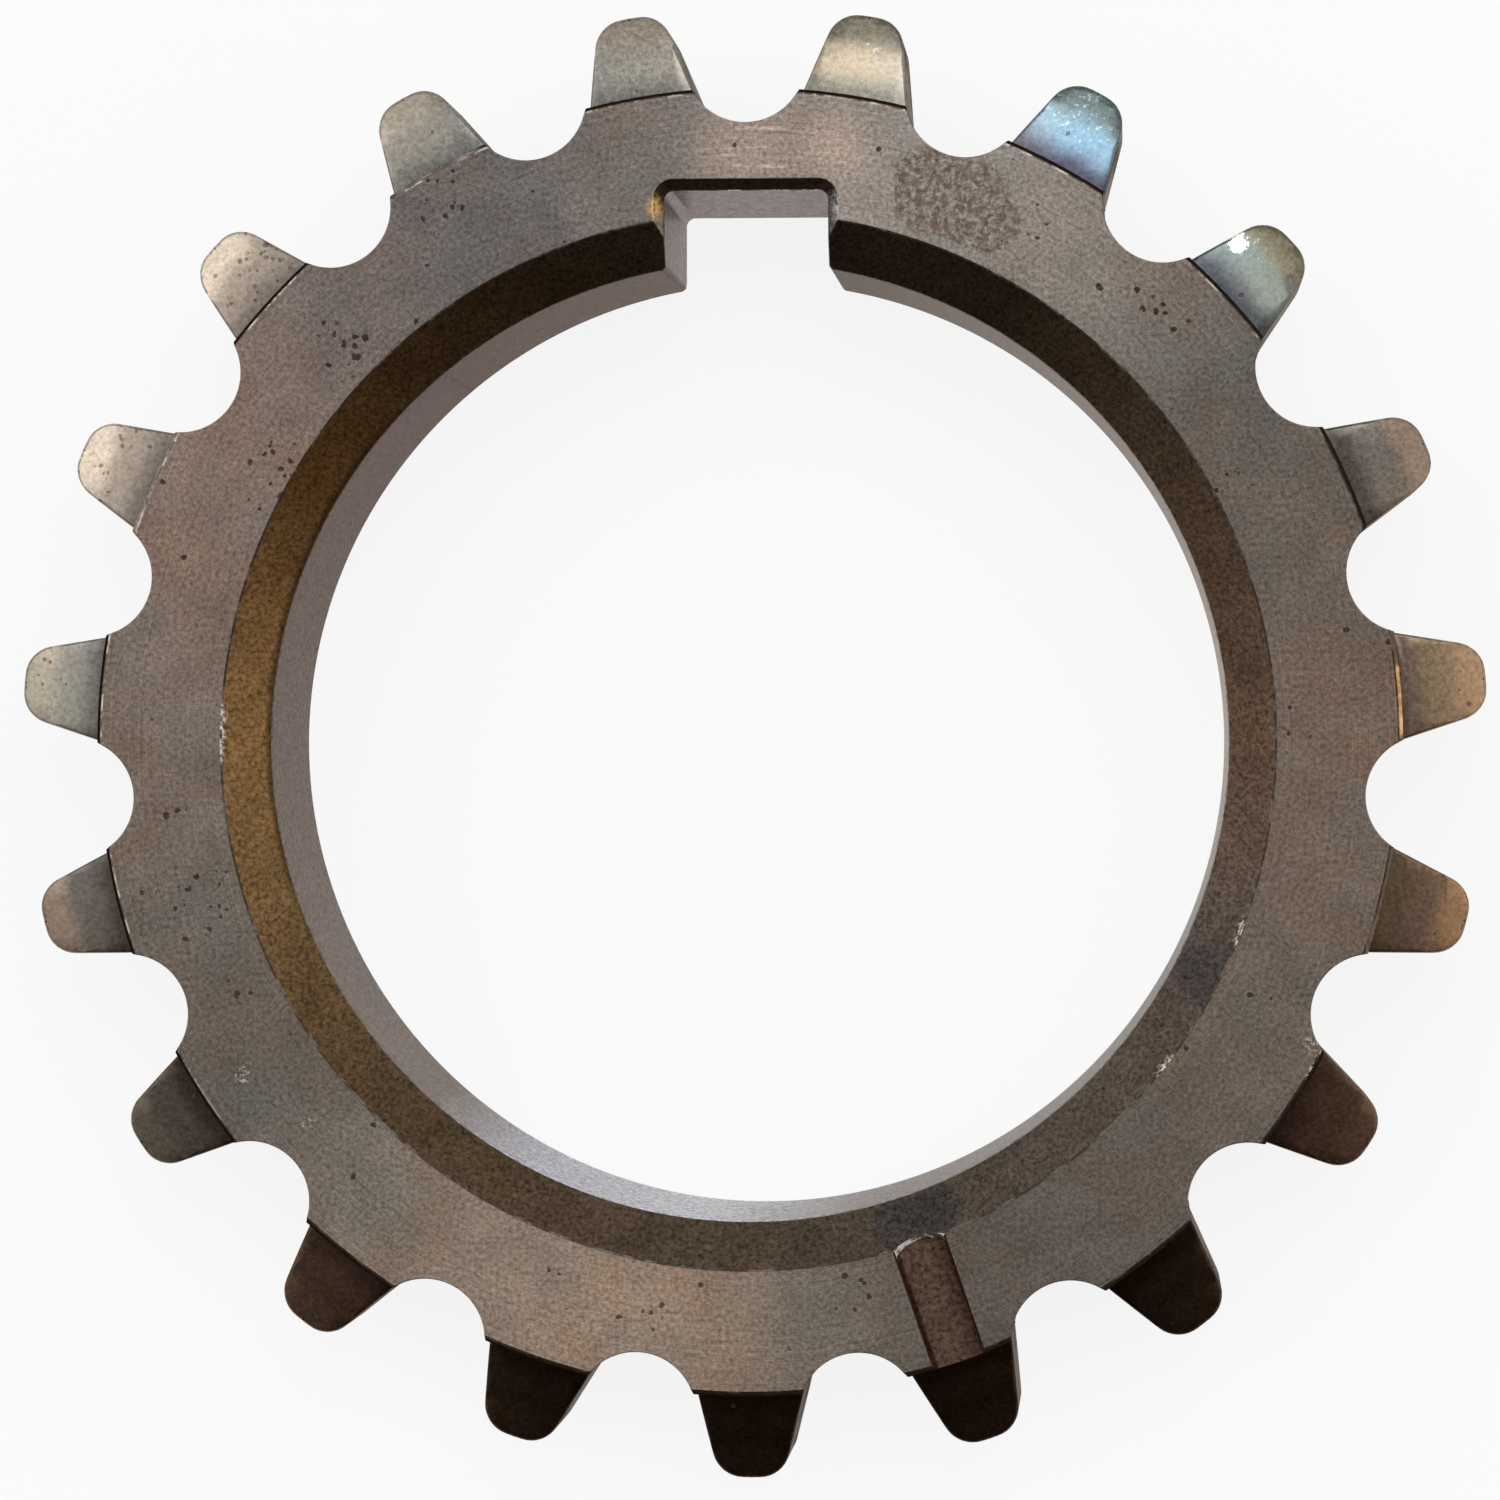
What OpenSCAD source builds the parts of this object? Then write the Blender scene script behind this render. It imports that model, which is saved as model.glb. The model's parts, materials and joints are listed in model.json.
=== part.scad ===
// Crankshaft sprocket for a single-row timing chain, turned and hobbed from one piece of steel.
// The bore axis is Z, the back face lies at Z = 0, and the front face with the timing mark looks up.
// The keyway and the tooth gap above it stand at +Y.

/* [Chain] */
// Chain pitch, from bush to bush
pitch = 9.525; // [9:0.025:12.7]
// Number of teeth
teeth = 19; // [18:1:26]
// Radius of the seat that a chain bush rests in
seat_r = 2.56; // [2.3:0.02:3]

/* [Teeth] */
// Height of the teeth above the pitch circle
tooth_rise = 2.7; // [1.6:0.05:3]
// Angle between a flank and the middle line of its gap
flank_angle = 23; // [16:0.5:28]
// Radius of the rounded corners of a tooth tip
tip_round = 1.35; // [0.4:0.05:1.6]
// Thickness of the teeth where they leave the hub
tooth_w = 5.5; // [3.5:0.1:6.5]
// How far in from the tip the relief on the sides of the teeth starts
relief_run = 3.7; // [1.2:0.1:3.7]
// How far each side has fallen away at the tip
relief_fall = 0.5; // [0.1:0.05:1.2]

/* [Hub] */
// Thickness from the back face to the front face
hub_w = 10; // [8:0.1:16]
// How far the teeth are set back from the front face
front_step = 1.65; // [0.8:0.05:3]
// How far the hub's shoulder lies inside the pitch circle
shoulder_drop = 1.05; // [0.5:0.05:1.8]
// Width of the broken edge round the front and the back of the hub
hub_break = 0.2; // [0.1:0.05:0.6]

/* [Bore] */
// Diameter of the bore
bore_d = 41; // [32:0.1:42]
// Radial width of the lead-in at the front of the bore
lead_w = 2; // [0.5:0.1:2.5]
// Depth of the lead-in at the front of the bore
lead_depth = 1.1; // [0.4:0.1:2]
// Width of the broken edge at the back of the bore
bore_break = 0.4; // [0.1:0.05:1]

/* [Keyway] */
// Width of the keyway
key_w = 7; // [4:0.1:8]
// Depth of the keyway below the wall of the bore
key_depth = 3; // [2:0.1:3.5]
// Radius of the keyway's two inner corners
key_corner = 0.4; // [0.2:0.05:0.8]
// Width of the chamfer round the keyway's front edge
key_lead = 0.45; // [0.2:0.05:1]
// Width of the broken edges where the keyway opens into the bore
key_break = 0.25; // [0.1:0.05:0.5]

/* [Timing mark] */
// Tooth that carries the mark, counted anticlockwise from the keyway
mark_tooth = 11; // [1:1:18]
// Width of the mark
mark_w = 2.2; // [1:0.1:3]
// Length of the mark, inwards from the shoulder
mark_l = 5.7; // [3:0.1:6]
// Depth of the mark
mark_depth = 0.4; // [0.2:0.05:1]
// Radius of the mark's inner end
mark_end_r = 1.8; // [1.6:0.1:4]

/* [Hidden] */
$fn = 96;

// How far each cutter reaches past the face that it opens
past = 1;
// How far a flank cuts inside the seat's circle, so that the two cross cleanly
flank_bite = 0.006;
// Straight steps that make up each small arc
arc_steps = 6;
// Flat that the side relief leaves beside the shoulder at least
least_flat = 0.05;

gap_angle = 360 / teeth;
pitch_r = pitch / (2 * sin(gap_angle / 2));
tip_r = pitch_r + tooth_rise;
hub_r = pitch_r - shoulder_drop;
bore_r = bore_d / 2;
key_floor = bore_r + key_depth;
tooth_front = hub_w - front_step;
tooth_back = tooth_front - tooth_w;
keyway_side = 90;

// Point at a radius and an angle
function polar(r, a) = [r * cos(a), r * sin(a)];

// Points of an arc, from angle a0 to angle a1
function arc(c, r, a0, a1) = [for (i = [0:arc_steps]) c + polar(r, a0 + (a1 - a0) * i / arc_steps)];

// Points mirrored across the X axis, in the order that closes an outline
function flip(points) = [for (i = [len(points) - 1:-1:0]) [points[i][0], -points[i][1]]];

// Points turned about the origin
function turn(points, a) =
    [for (p = points) [p[0] * cos(a) - p[1] * sin(a), p[0] * sin(a) + p[1] * cos(a)]];

// Side relief of a tooth: the radius of its curve, and points on it from the flat side out to the tip
relief_start = max(tip_r - relief_run, hub_r + least_flat);
relief_length = tip_r - relief_start;
relief_r = (relief_length * relief_length + relief_fall * relief_fall) / (2 * relief_fall);
relief_turn = acos(1 - relief_fall / relief_r);
relief_back = arc([relief_start, tooth_back + relief_r], relief_r, -90, relief_turn - 90);
relief_front = arc([relief_start, tooth_front - relief_r], relief_r, 90 - relief_turn, 90);

// One flank of the tooth that points along +X. It leaves the seat of the gap below it.
flank_dir = flank_angle - gap_angle / 2;
flank_normal = polar(1, flank_dir + 90);
flank_foot = polar(pitch_r, -gap_angle / 2) + (seat_r - flank_bite) * flank_normal;
flank_offset = flank_foot * flank_normal;

// The tip corner touches the flank and the tip circle, and leaves a small land at the tip.
corner_limit = (tip_r * flank_normal[0] - flank_offset) / (1 + flank_normal[0]);
corner_r = min(tip_round, 0.95 * corner_limit);
corner_out = flank_offset + corner_r;
corner_along = sqrt(pow(tip_r - corner_r, 2) - pow(corner_out, 2));
corner_c = corner_out * flank_normal + corner_along * polar(1, flank_dir);
corner_end = atan2(corner_c[1], corner_c[0]);
half_tooth = concat([flank_foot], arc(corner_c, corner_r, flank_dir - 90, corner_end));
tooth = concat(half_tooth, [[tip_r, 0]], flip(half_tooth));

// Outline of all teeth, before the seats are cut
module tooth_outline() {
    polygon([for (i = [0:teeth - 1]) each turn(tooth, keyway_side + (i + 0.5) * gap_angle)]);
}

// Section of the turned blank: the hub, the bore with its lead-in, and the relieved rim
module blank_section() {
    polygon(concat(
        [
            [bore_r + bore_break, 0],
            [hub_r - hub_break, 0],
            [hub_r, hub_break],
            [hub_r, tooth_back]
        ],
        relief_back,
        [
            [tip_r + past, tooth_back + relief_fall],
            [tip_r + past, tooth_front - relief_fall]
        ],
        relief_front,
        [
            [hub_r, tooth_front],
            [hub_r, hub_w - hub_break],
            [hub_r - hub_break, hub_w],
            [bore_r + lead_w, hub_w],
            [bore_r, hub_w - lead_depth],
            [bore_r, bore_break]
        ]
    ));
}

// Round seats between the teeth, cut through the shoulders on both sides
module seats() {
    for (i = [0:teeth - 1])
        translate(concat(polar(pitch_r, keyway_side + i * gap_angle), -past))
            cylinder(r = seat_r, h = hub_w + 2 * past);
}

// Keyway through the whole hub, with round inner corners, broken edges at the bore and a chamfered front edge
module keyway() {
    corner = [key_floor - key_corner, key_corner - key_w / 2];
    mouth = sqrt(bore_r * bore_r - key_w * key_w / 4);
    mouth_half = key_w / 2 + key_break + past;
    half_key = concat(
        [[0, -mouth_half], [mouth - past, -mouth_half], [mouth + key_break, -key_w / 2]],
        arc(corner, key_corner, -90, 0)
    );
    rotate(keyway_side) {
        translate([0, 0, -past])
            linear_extrude(hub_w + 2 * past)
                polygon(concat(half_key, flip(half_key)));
        key_chamfer();
    }
}

// Chamfer round the keyway's front edge, as a wedge that widens towards the front
module key_chamfer() {
    foot = hub_w - key_lead - past;
    top = hub_w + past;
    intersection() {
        rotate([90, 0, 0])
            linear_extrude(2 * key_w, center = true)
                polygon([[0, foot], [key_floor - past, foot], [key_floor + key_lead + past, top], [0, top]]);
        rotate([90, 0, 90])
            linear_extrude(key_floor + key_lead + 2 * past)
                polygon([
                    [past - key_w / 2, foot],
                    [key_w / 2 - past, foot],
                    [key_w / 2 + key_lead + past, top],
                    [-key_w / 2 - key_lead - past, top]
                ]);
    }
}

// Timing mark: a shallow groove in the front face, in line with one tooth
module timing_mark() {
    end_turn = asin(mark_w / (2 * mark_end_r));
    end_c = [hub_r - mark_l + mark_end_r, 0];
    rotate(keyway_side + (mark_tooth - 0.5) * gap_angle)
        translate([0, 0, hub_w - mark_depth])
            linear_extrude(mark_depth + past)
                polygon(concat(
                    [[hub_r + past, mark_w / 2]],
                    arc(end_c, mark_end_r, 180 - end_turn, 180 + end_turn),
                    [[hub_r + past, -mark_w / 2]]
                ));
}

module sprocket() {
    color("dimgray")
        difference() {
            intersection() {
                rotate_extrude() blank_section();
                translate([0, 0, -past])
                    linear_extrude(hub_w + 2 * past)
                        tooth_outline();
            }
            seats();
            keyway();
            timing_mark();
        }
}

sprocket();
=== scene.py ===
import json
import math
import bmesh
import bpy
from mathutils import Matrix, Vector


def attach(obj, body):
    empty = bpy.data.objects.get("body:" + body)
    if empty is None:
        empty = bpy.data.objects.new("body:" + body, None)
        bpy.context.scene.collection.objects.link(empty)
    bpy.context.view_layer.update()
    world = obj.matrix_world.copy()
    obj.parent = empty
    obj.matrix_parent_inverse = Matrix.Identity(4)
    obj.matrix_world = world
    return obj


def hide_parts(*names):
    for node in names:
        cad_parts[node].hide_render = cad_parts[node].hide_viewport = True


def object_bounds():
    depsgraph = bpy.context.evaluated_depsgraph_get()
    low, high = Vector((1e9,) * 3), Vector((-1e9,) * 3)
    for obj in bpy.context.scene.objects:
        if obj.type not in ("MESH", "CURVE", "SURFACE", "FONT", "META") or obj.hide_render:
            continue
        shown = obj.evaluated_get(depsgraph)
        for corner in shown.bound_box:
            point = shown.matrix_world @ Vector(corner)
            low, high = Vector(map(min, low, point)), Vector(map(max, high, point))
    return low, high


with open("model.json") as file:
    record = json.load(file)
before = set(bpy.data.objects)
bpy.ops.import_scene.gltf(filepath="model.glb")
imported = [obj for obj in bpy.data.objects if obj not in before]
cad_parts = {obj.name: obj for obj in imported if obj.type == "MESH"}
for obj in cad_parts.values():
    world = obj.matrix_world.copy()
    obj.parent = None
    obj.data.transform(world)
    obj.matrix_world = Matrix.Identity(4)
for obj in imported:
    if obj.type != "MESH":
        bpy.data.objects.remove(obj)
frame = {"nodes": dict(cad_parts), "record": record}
cadLow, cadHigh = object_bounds()

mm = 0.001
scene = bpy.context.scene
scene.view_settings.view_transform = "Standard"
mounts = {mount["name"]: mount for mount in frame["record"]["mounts"]}
print("frame loaded:", sorted(frame["nodes"]))

# Sprocket: lengths in millimetres, angles in degrees.
# The mesh is made in millimetres and shrunk to metres last.
sprocket = {
    "hubWidth": (cadHigh.z - cadLow.z) / mm,
    "boreRadius": mounts["bore"]["dims"]["r_mm"],
    "toothCount": 19,
    "chainPitch": 9.525,
    "seatRadius": 2.56,
    "toothRise": 2.7,
    "flankAngle": 23,
    "tipRound": 1.35,
    "toothWidth": 5.5,
    "frontStep": 1.65,
    "reliefRun": 3.7,
    "reliefFall": 0.5,
    "shoulderDrop": 1.05,
    "hubBreak": 0.2,
    "leadWidth": 2.0,
    "leadDepth": 1.1,
    "boreBreak": 0.4,
    "keyWidth": 7.0,
    "keyDepth": 3.0,
    "keyCorner": 0.4,
    "keyLead": 0.45,
    "keyBreak": 0.12,
    "markTooth": 11,          # counted anticlockwise from the keyway
    "markWidth": 2.2,
    "markLength": 5.7,
    "markDepth": 0.4,
    "markEnd": 1.8,
    "markLip": 0.08,
    "markRamp": 0.3,          # run of the sloping wall at the inner end of the mark
    "toothEdge": 0.12,        # rounding of the edges of the teeth
    "toothEdgeSteps": 4,
    "turnedEdge": 0.05,       # rounding of the turned and broached edges
    "turnedEdgeSteps": 2,
    "sharpAngle": 28,         # edges that turn more than this are rounded
    "smoothAngle": 32,        # faces that turn less than this are shaded as one
    "normalWeight": 80,
    "seatSteps": 20,
    "cornerSteps": 8,
    "reliefSteps": 10,
    "keySteps": 8,
    "markSteps": 12,
    "spinSteps": 12,          # for each tooth
}

gapAngle = 2 * math.pi / sprocket["toothCount"]
pitchRadius = sprocket["chainPitch"] / (2 * math.sin(gapAngle / 2))
tipRadius = pitchRadius + sprocket["toothRise"]
hubRadius = pitchRadius - sprocket["shoulderDrop"]
boreRadius = sprocket["boreRadius"]
leadRadius = boreRadius + sprocket["leadWidth"]
keyFloor = boreRadius + sprocket["keyDepth"]
hubWidth = sprocket["hubWidth"]
leadFoot = hubWidth - sprocket["leadDepth"]
toothFront = hubWidth - sprocket["frontStep"]
toothBack = toothFront - sprocket["toothWidth"]
keySide = math.pi / 2                       # the keyway looks along +Y
markAngle = keySide + (sprocket["markTooth"] - 0.5) * gapAngle
clearance = 1.0                             # how far a cutter reaches past what it cuts
weld = 0.0005                               # points closer than this are one point
flatTurn = math.radians(0.05)               # faces that turn less than this are one face


def polar(radius, angle, z=0.0):
    return Vector((radius * math.cos(angle), radius * math.sin(angle), z))


def arcPoints(centre, radius, start, end, steps):
    return [centre + polar(radius, start + (end - start) * i / steps) for i in range(steps + 1)]


def dropSelection():
    if bpy.context.object and bpy.context.object.mode != "OBJECT":
        bpy.ops.object.mode_set(mode="OBJECT")
    bpy.ops.object.select_all(action="DESELECT")


def makeActive(piece):
    dropSelection()
    piece.select_set(True)
    bpy.context.view_layer.objects.active = piece


def pullUp(height):
    bpy.ops.mesh.extrude_region_move(TRANSFORM_OT_translate={"value": (0, 0, height)})


# Pulls one point from corner to corner. Edit mode stays on, with the whole chain selected.
def drawChain(name, points, closed):
    dropSelection()
    bpy.ops.mesh.primitive_plane_add(size=1.0, location=(0, 0, 0))
    piece = bpy.context.object
    piece.name = name
    bpy.ops.object.mode_set(mode="EDIT")
    bpy.ops.mesh.select_mode(type="VERT")
    bpy.ops.mesh.select_all(action="SELECT")
    bpy.ops.mesh.merge(type="CENTER")
    bpy.ops.transform.translate(value=points[0])
    for here, there in zip(points, points[1:]):
        bpy.ops.mesh.extrude_region_move(TRANSFORM_OT_translate={"value": there - here})
    if closed:
        bpy.ops.mesh.select_all(action="DESELECT")
        bpy.ops.object.mode_set(mode="OBJECT")
        piece.data.vertices[0].select = True
        piece.data.vertices[len(points) - 1].select = True
        bpy.ops.object.mode_set(mode="EDIT")
        bpy.ops.mesh.edge_face_add()
    bpy.ops.mesh.select_all(action="SELECT")
    return piece


# A shape that is still inside out, with a volume below zero, is turned round
def turnOutwards():
    bpy.ops.mesh.select_all(action="SELECT")
    bpy.ops.mesh.remove_doubles(threshold=weld)
    bpy.ops.mesh.normals_make_consistent(inside=False)
    if bmesh.from_edit_mesh(bpy.context.object.data).calc_volume(signed=True) < 0:
        bpy.ops.mesh.flip_normals()


def applyModifier(piece, kind, settings):
    makeActive(piece)
    modifier = piece.modifiers.new(kind.lower(), kind)
    for key, value in settings.items():
        setattr(modifier, key, value)
    bpy.ops.object.modifier_apply(modifier=modifier.name)


def cutPiece(piece, cutter, operation):
    applyModifier(piece, "BOOLEAN", {"object": cutter, "operation": operation, "solver": "EXACT"})
    bpy.data.objects.remove(cutter)


# Turned blank: its section is drawn in the XZ plane and spun round the bore axis
def turnBlank():
    run, fall = sprocket["reliefRun"], sprocket["reliefFall"]
    reliefRadius = (run * run + fall * fall) / (2 * fall)
    reliefTurn = math.acos(1 - fall / reliefRadius)
    relief = []
    for i in range(sprocket["reliefSteps"] + 1):
        turn = reliefTurn * i / sprocket["reliefSteps"]
        out = tipRadius - run + reliefRadius * math.sin(turn)
        relief.append((out, reliefRadius * (1 - math.cos(turn))))
    rim = tipRadius + clearance
    hubBreak, boreBreak = sprocket["hubBreak"], sprocket["boreBreak"]
    section = [(boreRadius + boreBreak, 0), (hubRadius - hubBreak, 0), (hubRadius, hubBreak)]
    section += [(hubRadius, toothBack)]
    section += [(r, toothBack + drop) for r, drop in relief]
    section += [(rim, toothBack + fall), (rim, toothFront - fall)]
    section += [(r, toothFront - drop) for r, drop in reversed(relief)]
    section += [(hubRadius, toothFront), (hubRadius, hubWidth - hubBreak)]
    section += [(hubRadius - hubBreak, hubWidth), (leadRadius, hubWidth)]
    section += [(boreRadius, leadFoot), (boreRadius, boreBreak)]
    blank = drawChain("wornSprocket", [Vector((r, 0, z)) for r, z in section], True)
    steps = sprocket["toothCount"] * sprocket["spinSteps"]
    bpy.ops.mesh.spin(steps=steps, angle=2 * math.pi, center=(0, 0, 0), axis=(0, 0, 1))
    turnOutwards()
    bpy.ops.mesh.dissolve_limited(angle_limit=flatTurn)
    bpy.ops.object.mode_set(mode="OBJECT")
    return blank


# Toothed prism: one tooth with half a seat on each side, copied round by a spin, filled and pulled up
def hobTeeth():
    seat, tipRound = sprocket["seatRadius"], sprocket["tipRound"]
    flankTurn = math.radians(sprocket["flankAngle"]) - gapAngle / 2
    along, across = polar(1, flankTurn), polar(1, flankTurn + math.pi / 2)
    seatCentre = polar(pitchRadius, -gapAngle / 2)
    seatStart, seatEnd = math.pi - gapAngle / 2, flankTurn + math.pi / 2
    cornerOut = seatCentre.dot(across) + seat + tipRound
    cornerAlong = math.sqrt((tipRadius - tipRound) ** 2 - cornerOut ** 2)
    cornerCentre = cornerOut * across + cornerAlong * along
    cornerStart, cornerEnd = flankTurn - math.pi / 2, math.atan2(cornerCentre.y, cornerCentre.x)
    half = arcPoints(seatCentre, seat, seatStart, seatEnd, sprocket["seatSteps"])
    half += arcPoints(cornerCentre, tipRound, cornerStart, cornerEnd, sprocket["cornerSteps"])
    half += [polar(tipRadius, cornerEnd / 2), polar(tipRadius, 0)]
    other = [Vector((p.x, -p.y, 0)) for p in reversed(half[:-1])]
    teeth = drawChain("toothPrism", half + other, False)
    firstTooth = keySide + gapAngle / 2
    bpy.ops.transform.rotate(value=-firstTooth, orient_axis="Z", center_override=(0, 0, 0))
    bpy.ops.mesh.spin(
        steps=sprocket["toothCount"], dupli=True, angle=2 * math.pi, center=(0, 0, 0), axis=(0, 0, 1)
    )
    bpy.ops.mesh.select_all(action="SELECT")
    bpy.ops.mesh.remove_doubles(threshold=weld)
    bpy.ops.mesh.edge_face_add()
    bpy.ops.transform.translate(value=(0, 0, -clearance))
    pullUp(hubWidth + 2 * clearance)
    turnOutwards()
    bpy.ops.object.mode_set(mode="OBJECT")
    return teeth


# Outline of the keyway, spread outwards by this much, with broken edges where it opens into the bore
def keyOutline(spread):
    half, corner = sprocket["keyWidth"] / 2 + spread, sprocket["keyCorner"] + spread
    mouth = math.sqrt(boreRadius ** 2 - (sprocket["keyWidth"] / 2) ** 2)
    flare = sprocket["keyBreak"] + clearance
    side = [Vector((half + flare, 0, 0)), Vector((half + flare, mouth - clearance, 0))]
    side += [Vector((half, mouth + sprocket["keyBreak"], 0))]
    centre = Vector((half - corner, keyFloor + spread - corner, 0))
    side += arcPoints(centre, corner, 0, math.pi / 2, sprocket["keySteps"])
    return side + [Vector((-p.x, p.y, 0)) for p in reversed(side)]


# Keyway cutter: the outline is pulled up to the foot of the chamfer, and then widens to the front
def broachKeyway():
    lead = sprocket["keyLead"]
    narrow, wide = keyOutline(0), keyOutline(lead + clearance)
    key = drawChain("keyCutter", narrow, True)
    bpy.ops.mesh.edge_face_add()
    bpy.ops.transform.translate(value=(0, 0, -clearance))
    pullUp(hubWidth - lead + clearance)
    pullUp(lead + clearance)
    bpy.ops.object.mode_set(mode="OBJECT")
    for point in key.data.vertices:
        if point.co.z > hubWidth:
            flat = Vector((point.co.x, point.co.y, 0))
            nearest = min(range(len(narrow)), key=lambda i: (narrow[i] - flat).length)
            point.co.x, point.co.y = wide[nearest].x, wide[nearest].y
    bpy.ops.object.mode_set(mode="EDIT")
    turnOutwards()
    bpy.ops.object.mode_set(mode="OBJECT")
    return key


# Timing mark cutter: a shallow groove with a round, sloping inner end, flared at its lip
def millMark():
    half, end = sprocket["markWidth"] / 2, sprocket["markEnd"]
    lip, depth = sprocket["markLip"], sprocket["markDepth"]
    endTurn = math.asin(half / end)
    length = sprocket["markLength"] - sprocket["markRamp"]
    endCentre = Vector((hubRadius - length + end, 0, 0))
    outline = [Vector((hubRadius + clearance, half, 0))]
    outline += arcPoints(endCentre, end, math.pi - endTurn, math.pi + endTurn, sprocket["markSteps"])
    outline += [Vector((hubRadius + clearance, -half, 0))]
    mark = drawChain("markCutter", outline, True)
    bpy.ops.mesh.edge_face_add()
    bpy.ops.transform.translate(value=(0, 0, hubWidth - depth))
    pullUp(depth - lip)
    longer = (length + sprocket["markRamp"] + clearance) / (length + clearance)
    bpy.ops.transform.resize(value=(longer, 1, 1), center_override=(hubRadius + clearance, 0, 0))
    pullUp(2 * lip)
    widen = (1 + 2 * lip / sprocket["markLength"], 1 + 2 * lip / half, 1)
    bpy.ops.transform.resize(value=widen, center_override=(hubRadius, 0, 0))
    bpy.ops.mesh.select_all(action="SELECT")
    bpy.ops.transform.rotate(value=-markAngle, orient_axis="Z", center_override=(0, 0, 0))
    turnOutwards()
    bpy.ops.object.mode_set(mode="OBJECT")
    return mark


# Rounds the edges between the sides and the flanks of the teeth, where a flat face meets a steep one
def roundTeeth(piece):
    pastShoulder, steep, flat = 0.05, 0.2, 0.8
    makeActive(piece)
    bpy.ops.object.mode_set(mode="EDIT")
    bpy.ops.mesh.select_mode(type="EDGE")
    bpy.ops.mesh.select_all(action="DESELECT")
    shape = bmesh.from_edit_mesh(piece.data)
    for edge in shape.edges:
        middle = (edge.verts[0].co + edge.verts[1].co) / 2
        tilts = sorted(abs(face.normal.z) for face in edge.link_faces)
        if middle.xy.length > hubRadius + pastShoulder and tilts[0] < steep and tilts[-1] > flat:
            edge.select_set(True)
    bmesh.update_edit_mesh(piece.data)
    bpy.ops.mesh.bevel(
        offset=sprocket["toothEdge"], segments=sprocket["toothEdgeSteps"], affect="EDGES", clamp_overlap=False
    )
    bpy.ops.object.mode_set(mode="OBJECT")


# Closes the hairline gaps that the cuts leave between points on one line
def closeSlivers(piece):
    makeActive(piece)
    bpy.ops.object.mode_set(mode="EDIT")
    bpy.ops.mesh.select_mode(type="VERT")
    bpy.ops.mesh.select_all(action="SELECT")
    bpy.ops.mesh.remove_doubles(threshold=weld)
    bpy.ops.mesh.dissolve_degenerate(threshold=weld)
    bpy.ops.mesh.select_all(action="SELECT")
    bpy.ops.mesh.fill_holes(sides=0)
    turnOutwards()
    bpy.ops.object.mode_set(mode="OBJECT")


def makeSprocket():
    piece = turnBlank()
    cutPiece(piece, hobTeeth(), "INTERSECT")
    cutPiece(piece, broachKeyway(), "DIFFERENCE")
    makeActive(piece)
    bpy.ops.object.mode_set(mode="EDIT")
    bpy.ops.mesh.select_all(action="SELECT")
    bpy.ops.mesh.remove_doubles(threshold=weld)
    bpy.ops.mesh.dissolve_limited(angle_limit=flatTurn)
    bpy.ops.object.mode_set(mode="OBJECT")
    print("sprocket cut:", len(piece.data.polygons), "faces")
    roundTeeth(piece)
    applyModifier(piece, "BEVEL", {
        "width": sprocket["turnedEdge"],
        "segments": sprocket["turnedEdgeSteps"],
        "limit_method": "ANGLE",
        "angle_limit": math.radians(sprocket["sharpAngle"]),
        "use_clamp_overlap": False,
    })
    cutPiece(piece, millMark(), "DIFFERENCE")
    # The rounding may not reach past the tip circle or the faces
    for point in piece.data.vertices:
        point.co.xy *= min(1, tipRadius / point.co.xy.length)
        point.co.z = min(max(point.co.z, 0), hubWidth)
    closeSlivers(piece)
    return piece


wornSprocket = makeSprocket()
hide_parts("sprocket")
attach(wornSprocket, "root")
print("sprocket shaped:", len(wornSprocket.data.polygons), "faces")

# Kinds of noise in the finishes: detail and roughness
noiseKinds = {
    "plain": (2.0, 0.5),
    "ragged": (3.0, 0.5),
    "film": (3.0, 0.6),
    "crust": (3.0, 0.65),
    "grain": (3.0, 0.7),
    "oil": (4.0, 0.65),
    "wear": (4.0, 0.7),
    "rust": (5.0, 0.8),
}
noiseSpan = (0.3, 0.7)        # most of a noise lies between these

# Outline of a pit: it wavers, pits differ in size, and each fades over a short way
pitRim = {"scale": 4.0, "waver": 0.7, "variety": 0.2, "outside": 0.5, "inside": 0.36}


def put(tree, kind, sockets, **settings):
    node = tree.nodes.new("ShaderNode" + kind)
    for key, value in settings.items():
        setattr(node, key, value)
    for key, value in sockets.items():
        if isinstance(value, bpy.types.NodeSocket):
            tree.links.new(value, node.inputs[key])
        else:
            node.inputs[key].default_value = value
    return node


def calc(tree, operation, first, second=0.0, third=0.0):
    return put(tree, "Math", {0: first, 1: second, 2: third}, operation=operation).outputs[0]


def times(tree, first, second):
    return calc(tree, "MULTIPLY", first, second)


# A place worked out from two others
def placed(tree, operation, first, second):
    return put(tree, "VectorMath", {0: first, 1: second}, operation=operation).outputs[0]


# A length worked out from two places
def measured(tree, operation, first, second):
    return put(tree, "VectorMath", {0: first, 1: second}, operation=operation).outputs[1]


def fade(tree, value, start, end):
    sockets = {0: value, 1: start, 2: end}
    return put(tree, "MapRange", sockets, interpolation_type="SMOOTHSTEP").outputs[0]


def layer(tree, share, below, above, mode="MIX"):
    return put(tree, "Mix", {0: share, 6: below, 7: above}, data_type="RGBA", blend_type=mode).outputs[2]


def noise(tree, kind, place, scale):
    detail, roughness = noiseKinds[kind]
    sockets = {"Vector": place, "Scale": scale, "Detail": detail, "Roughness": roughness}
    return put(tree, "TexNoise", sockets).outputs[0]


# Fine lines of a turning tool, that follow one another along a length
def toolLines(tree, length, scale):
    sockets = {"W": length, "Scale": scale, "Detail": 3.0}
    return put(tree, "TexNoise", sockets, noise_dimensions="1D").outputs[0]


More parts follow.
